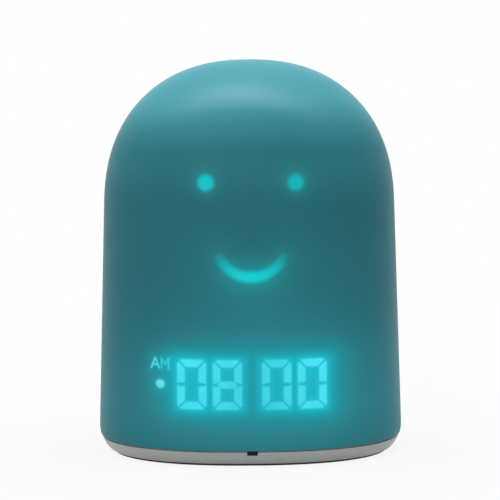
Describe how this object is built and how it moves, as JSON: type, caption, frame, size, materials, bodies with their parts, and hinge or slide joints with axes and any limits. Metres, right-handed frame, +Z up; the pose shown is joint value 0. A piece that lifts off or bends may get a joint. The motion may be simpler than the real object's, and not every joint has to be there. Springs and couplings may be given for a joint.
{
  "type": "alarm clock",
  "caption": "Children's alarm clock with a translucent dome, a lit smiling face and clock digits behind it, a night light, a loudspeaker and push buttons in the back.",
  "frame": {"origin": "middle of the footprint, on the surface that the clock stands on", "axes": "+Z up, the lit face looks along -Y, +X to the right of someone who looks at the face"},
  "size_m": [0.105, 0.086, 0.135],
  "materials": {
    "dome": "satin translucent",
    "pale_plastic": "fine matt",
    "white_plastic": "matt",
    "rubber": "matt",
    "steel": "bright",
    "board": "solder resist",
    "white_board": "white solder resist",
    "black_plastic": "matt",
    "film": "frosted",
    "lamp": "clear over phosphor",
    "battery_wrap": "shrink film",
    "cloth": "open weave",
    "foam": "soft foam",
    "cone_paper": "pressed paper",
    "magnet": "sintered",
    "copper": "enamelled wire",
    "cable": "insulation"
  },
  "bodies": {
    "housing": {"shell": "dome", "base_tray": "pale_plastic", "foot_ring": "rubber", "shell_frame": "white_plastic", "base_screws": "steel", "rear_panel": "pale_plastic", "panel_screws": "steel", "grille_cloth": "cloth", "chassis": "white_plastic", "chassis_screws": "steel", "display_board": "board", "board_screws": "steel", "digit_mask": "white_plastic", "face_mask": "white_plastic", "digit_diffuser": "film", "digit_lamps": "lamp", "face_lamps": "lamp", "lamp_board": "white_board", "lamp_reflector": "white_plastic", "night_lamps": "lamp", "main_board": "board", "main_board_screws": "steel", "radio_module": "steel", "logic_chips": "black_plastic", "capacitors": "black_plastic", "board_connectors": "white_plastic", "microphone": "steel", "microphone_boot": "rubber", "microphone_leads": "cable", "battery": "battery_wrap", "battery_bracket": "steel", "control_board": "board", "control_screws": "steel", "tact_switches": "black_plastic", "tact_covers": "steel", "switch_body": "steel", "usb_shell": "steel", "usb_tongue": "black_plastic", "speaker_gasket": "foam", "speaker_basket": "black_plastic", "speaker_yoke": "steel", "speaker_magnet": "magnet", "speaker_top_plate": "steel", "speaker_surround": "foam", "speaker_spider": "cone_paper", "display_ribbon": "cable", "control_ribbon": "cable", "speaker_leads": "cable", "battery_leads": "cable", "lamp_leads": "cable"},
    "minus_key": {"minus_button": "pale_plastic", "minus_plunger": "black_plastic"},
    "play_key": {"play_button": "pale_plastic", "play_plunger": "black_plastic"},
    "plus_key": {"plus_button": "pale_plastic", "plus_plunger": "black_plastic"},
    "slide_switch": {"power_knob": "black_plastic"},
    "cone": {"speaker_cone": "cone_paper", "voice_coil": "copper"}
  },
  "joints": [
    {"name": "minus_press", "type": "slide", "parent": "housing", "child": "minus_key", "axis": [0, -1, 0], "range_m": [0, 0.0005], "stiffness_N_per_m": 800},
    {"name": "play_press", "type": "slide", "parent": "housing", "child": "play_key", "axis": [0, -1, 0], "range_m": [0, 0.0005], "stiffness_N_per_m": 800},
    {"name": "plus_press", "type": "slide", "parent": "housing", "child": "plus_key", "axis": [0, -1, 0], "range_m": [0, 0.0005], "stiffness_N_per_m": 800},
    {"name": "switch_slide", "type": "slide", "parent": "housing", "child": "slide_switch", "axis": [1, 0, 0], "range_m": [0, 0.003]},
    {"name": "cone_stroke", "type": "slide", "parent": "housing", "child": "cone", "axis": [0, 1, 0], "range_m": [-0.0006, 0.0006], "stiffness_N_per_m": 1200, "deforming": ["speaker_surround", "speaker_spider"]}
  ]
}
